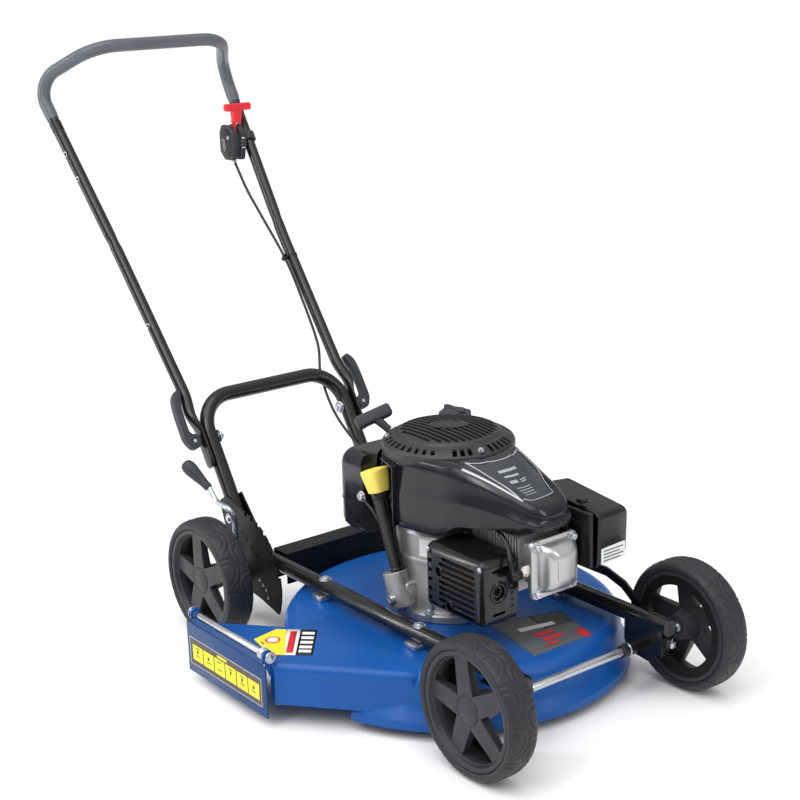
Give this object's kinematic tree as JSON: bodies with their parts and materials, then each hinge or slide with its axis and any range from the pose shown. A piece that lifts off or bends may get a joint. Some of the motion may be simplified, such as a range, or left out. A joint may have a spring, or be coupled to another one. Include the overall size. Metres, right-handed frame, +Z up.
{
  "type": "rotary utility mower",
  "caption": "Walk-behind petrol rotary mower: round side-discharge deck under tube rails, upright-shaft engine, linked height cranks, spoked wheels and fold-down handle.",
  "frame": {"origin": "on the ground under the middle of the machine's overall box", "axes": "+X forward (direction of travel), +Y to the machine's left, +Z up"},
  "size_m": [1.3014, 0.6324, 0.9362],
  "materials": {
    "deck_blue_paint": "semi-gloss blue stoved paint",
    "black_powder_coat": "gloss black powder coat",
    "charcoal_plastic": "moulded charcoal plastic",
    "tyre_rubber": "matt black rubber",
    "engine_black_plastic": "glossy black moulding",
    "cast_aluminium": "fine-blasted casting",
    "zinc_plate": "bright zinc plate",
    "steel": "oiled steel",
    "grey_sleeve": "satin grey sleeve",
    "yellow_plastic": "yellow moulding",
    "red_plastic": "red moulding"
  },
  "bodies": {
    "chassis": {"air_cleaner_base": "engine_black_plastic", "air_cleaner_cover": "engine_black_plastic", "blower_housing": "engine_black_plastic", "carburettor": "cast_aluminium", "crankcase": "cast_aluminium", "cylinder": "cast_aluminium", "deck": "deck_blue_paint", "deck_mount_front_left": "zinc_plate", "deck_mount_front_right": "zinc_plate", "deck_mount_rear_left": "zinc_plate", "deck_mount_rear_right": "zinc_plate", "deflector_hinge_rod": "zinc_plate", "dipstick_tube": "engine_black_plastic", "fuel_tank": "engine_black_plastic", "height_quadrant": "black_powder_coat", "left_front_bracket": "black_powder_coat", "left_rail": "black_powder_coat", "left_rear_bracket": "black_powder_coat", "lower_handle": "black_powder_coat", "muffler": "steel", "muffler_guard": "black_powder_coat", "rear_crossmember": "black_powder_coat", "right_front_bracket": "black_powder_coat", "right_rail": "black_powder_coat", "rocker_cover": "cast_aluminium", "spark_plug": "cast_aluminium", "starter_cover": "engine_black_plastic", "throttle_cable": "black_powder_coat"},
    "front_crank_body": {"front_crank": "zinc_plate"},
    "rear_crank_body": {"rear_crank": "steel", "height_lever": "zinc_plate", "height_lever_knob": "charcoal_plastic"},
    "height_link_body": {"height_link": "black_powder_coat"},
    "deflector_body": {"deflector_flap": "deck_blue_paint"},
    "crankshaft_body": {"crankshaft": "steel", "blade_disc": "steel"},
    "starter_pulley_body": {"starter_pulley": "charcoal_plastic"},
    "starter_grip_body": {"starter_grip": "charcoal_plastic"},
    "fuel_cap_body": {"fuel_cap": "charcoal_plastic"},
    "dipstick_body": {"dipstick": "yellow_plastic"},
    "handle_body": {"upper_handle": "black_powder_coat", "grip_sleeve": "grey_sleeve", "cam_bolt_right": "zinc_plate", "cam_bolt_left": "zinc_plate", "throttle_housing": "charcoal_plastic"},
    "throttle_lever_body": {"throttle_lever": "red_plastic"},
    "wheel_front_right_body": {"tyre_front_right": "tyre_rubber", "rim_front_right": "charcoal_plastic"},
    "wheel_front_left_body": {"tyre_front_left": "tyre_rubber", "rim_front_left": "charcoal_plastic"},
    "wheel_rear_right_body": {"tyre_rear_right": "tyre_rubber", "rim_rear_right": "charcoal_plastic"},
    "wheel_rear_left_body": {"tyre_rear_left": "tyre_rubber", "rim_rear_left": "charcoal_plastic"},
    "blade_1_body": {"blade_1": "steel"},
    "blade_2_body": {"blade_2": "steel"},
    "blade_3_body": {"blade_3": "steel"},
    "blade_4_body": {"blade_4": "steel"},
    "cam_lever_right_body": {"cam_lever_right": "charcoal_plastic"},
    "cam_lever_left_body": {"cam_lever_left": "charcoal_plastic"}
  },
  "joints": [
    {"name": "height_adjust", "type": "hinge", "parent": "chassis", "child": "rear_crank_body", "pos_m": [-0.1043, 0.03875, 0.08], "axis": [0, 1, 0], "range_deg": [0, 70]},
    {"name": "front_crank_turn", "type": "hinge", "parent": "chassis", "child": "front_crank_body", "pos_m": [0.5267, 0.03875, 0.08], "axis": [0, 1, 0], "range_deg": [0, 70]},
    {"name": "height_link_turn", "type": "hinge", "parent": "rear_crank_body", "child": "height_link_body", "pos_m": [-0.1243, 0.19825, 0.112], "axis": [0, 1, 0], "range_deg": [-70, 0]},
    {"name": "wheel_front_right_spin", "type": "hinge", "parent": "front_crank_body", "child": "wheel_front_right_body", "pos_m": [0.5507, -0.16785, 0.1], "axis": [0, 1, 0], "continuous": true},
    {"name": "wheel_front_left_spin", "type": "hinge", "parent": "front_crank_body", "child": "wheel_front_left_body", "pos_m": [0.5507, 0.24535, 0.1], "axis": [0, 1, 0], "continuous": true},
    {"name": "wheel_rear_right_spin", "type": "hinge", "parent": "rear_crank_body", "child": "wheel_rear_right_body", "pos_m": [-0.0803, -0.19985, 0.1], "axis": [0, 1, 0], "continuous": true},
    {"name": "wheel_rear_left_spin", "type": "hinge", "parent": "rear_crank_body", "child": "wheel_rear_left_body", "pos_m": [-0.0803, 0.27735, 0.1], "axis": [0, 1, 0], "continuous": true},
    {"name": "handle_fold", "type": "hinge", "parent": "chassis", "child": "handle_body", "pos_m": [-0.2133, 0.03875, 0.287], "axis": [0, 1, 0], "range_deg": [0, 100], "deforming": ["throttle_cable"]},
    {"name": "cam_lever_right_turn", "type": "hinge", "parent": "handle_body", "child": "cam_lever_right_body", "pos_m": [-0.2133, -0.13775, 0.287], "axis": [0.848, 0, 0.5299], "range_deg": [0, 95]},
    {"name": "cam_lever_left_turn", "type": "hinge", "parent": "handle_body", "child": "cam_lever_left_body", "pos_m": [-0.2133, 0.21525, 0.287], "axis": [-0.848, 0, -0.5299], "range_deg": [0, 95]},
    {"name": "throttle_turn", "type": "hinge", "parent": "handle_body", "child": "throttle_lever_body", "pos_m": [-0.5713, 0.19475, 0.729], "axis": [0, 1, 0], "range_deg": [0, 45]},
    {"name": "deflector_swing", "type": "hinge", "parent": "chassis", "child": "deflector_body", "pos_m": [0.0447, -0.30425, 0.11], "axis": [-1, 0, 0], "range_deg": [0, 75], "stiffness_Nm_per_rad": 0.8, "springref_deg": -28.65},
    {"name": "crankshaft_spin", "type": "hinge", "parent": "chassis", "child": "crankshaft_body", "pos_m": [0.2487, 0.03875, 0.04], "axis": [0, 0, 1], "continuous": true},
    {"name": "blade_1_swing", "type": "hinge", "parent": "crankshaft_body", "child": "blade_1_body", "pos_m": [0.37598, 0.16603, 0.04], "axis": [0, 0, 1], "range_deg": [-85, 85]},
    {"name": "blade_2_swing", "type": "hinge", "parent": "crankshaft_body", "child": "blade_2_body", "pos_m": [0.12142, 0.16603, 0.04], "axis": [0, 0, 1], "range_deg": [-85, 85]},
    {"name": "blade_3_swing", "type": "hinge", "parent": "crankshaft_body", "child": "blade_3_body", "pos_m": [0.12142, -0.08853, 0.04], "axis": [0, 0, 1], "range_deg": [-85, 85]},
    {"name": "blade_4_swing", "type": "hinge", "parent": "crankshaft_body", "child": "blade_4_body", "pos_m": [0.37598, -0.08853, 0.04], "axis": [0, 0, 1], "range_deg": [-85, 85]},
    {"name": "starter_pull", "type": "slide", "parent": "chassis", "child": "starter_grip_body", "axis": [-0.6753, -0.4096, 0.6133], "range_m": [0, 0.15], "stiffness_N_per_m": 20, "springref_m": -0.05},
    {"name": "starter_pulley_spin", "type": "hinge", "parent": "chassis", "child": "starter_pulley_body", "pos_m": [0.2487, 0.03875, 0.351], "axis": [0, 0, 1], "range_deg": [0, 220]},
    {"name": "fuel_cap_turn", "type": "hinge", "parent": "chassis", "child": "fuel_cap_body", "pos_m": [0.1482, 0.13525, 0.344], "axis": [0, 0, 1], "range_deg": [0, 120]},
    {"name": "dipstick_pull", "type": "slide", "parent": "chassis", "child": "dipstick_body", "axis": [-0.2868, -0.0326, 0.9574], "range_m": [0, 0.17]}
  ],
  "couplings": [
    {"joint": "front_crank_turn", "follows": "height_adjust", "ratio": 1},
    {"joint": "height_link_turn", "follows": "height_adjust", "ratio": -1},
    {"joint": "starter_pulley_spin", "follows": "starter_pull", "rad_per_m": 25}
  ]
}
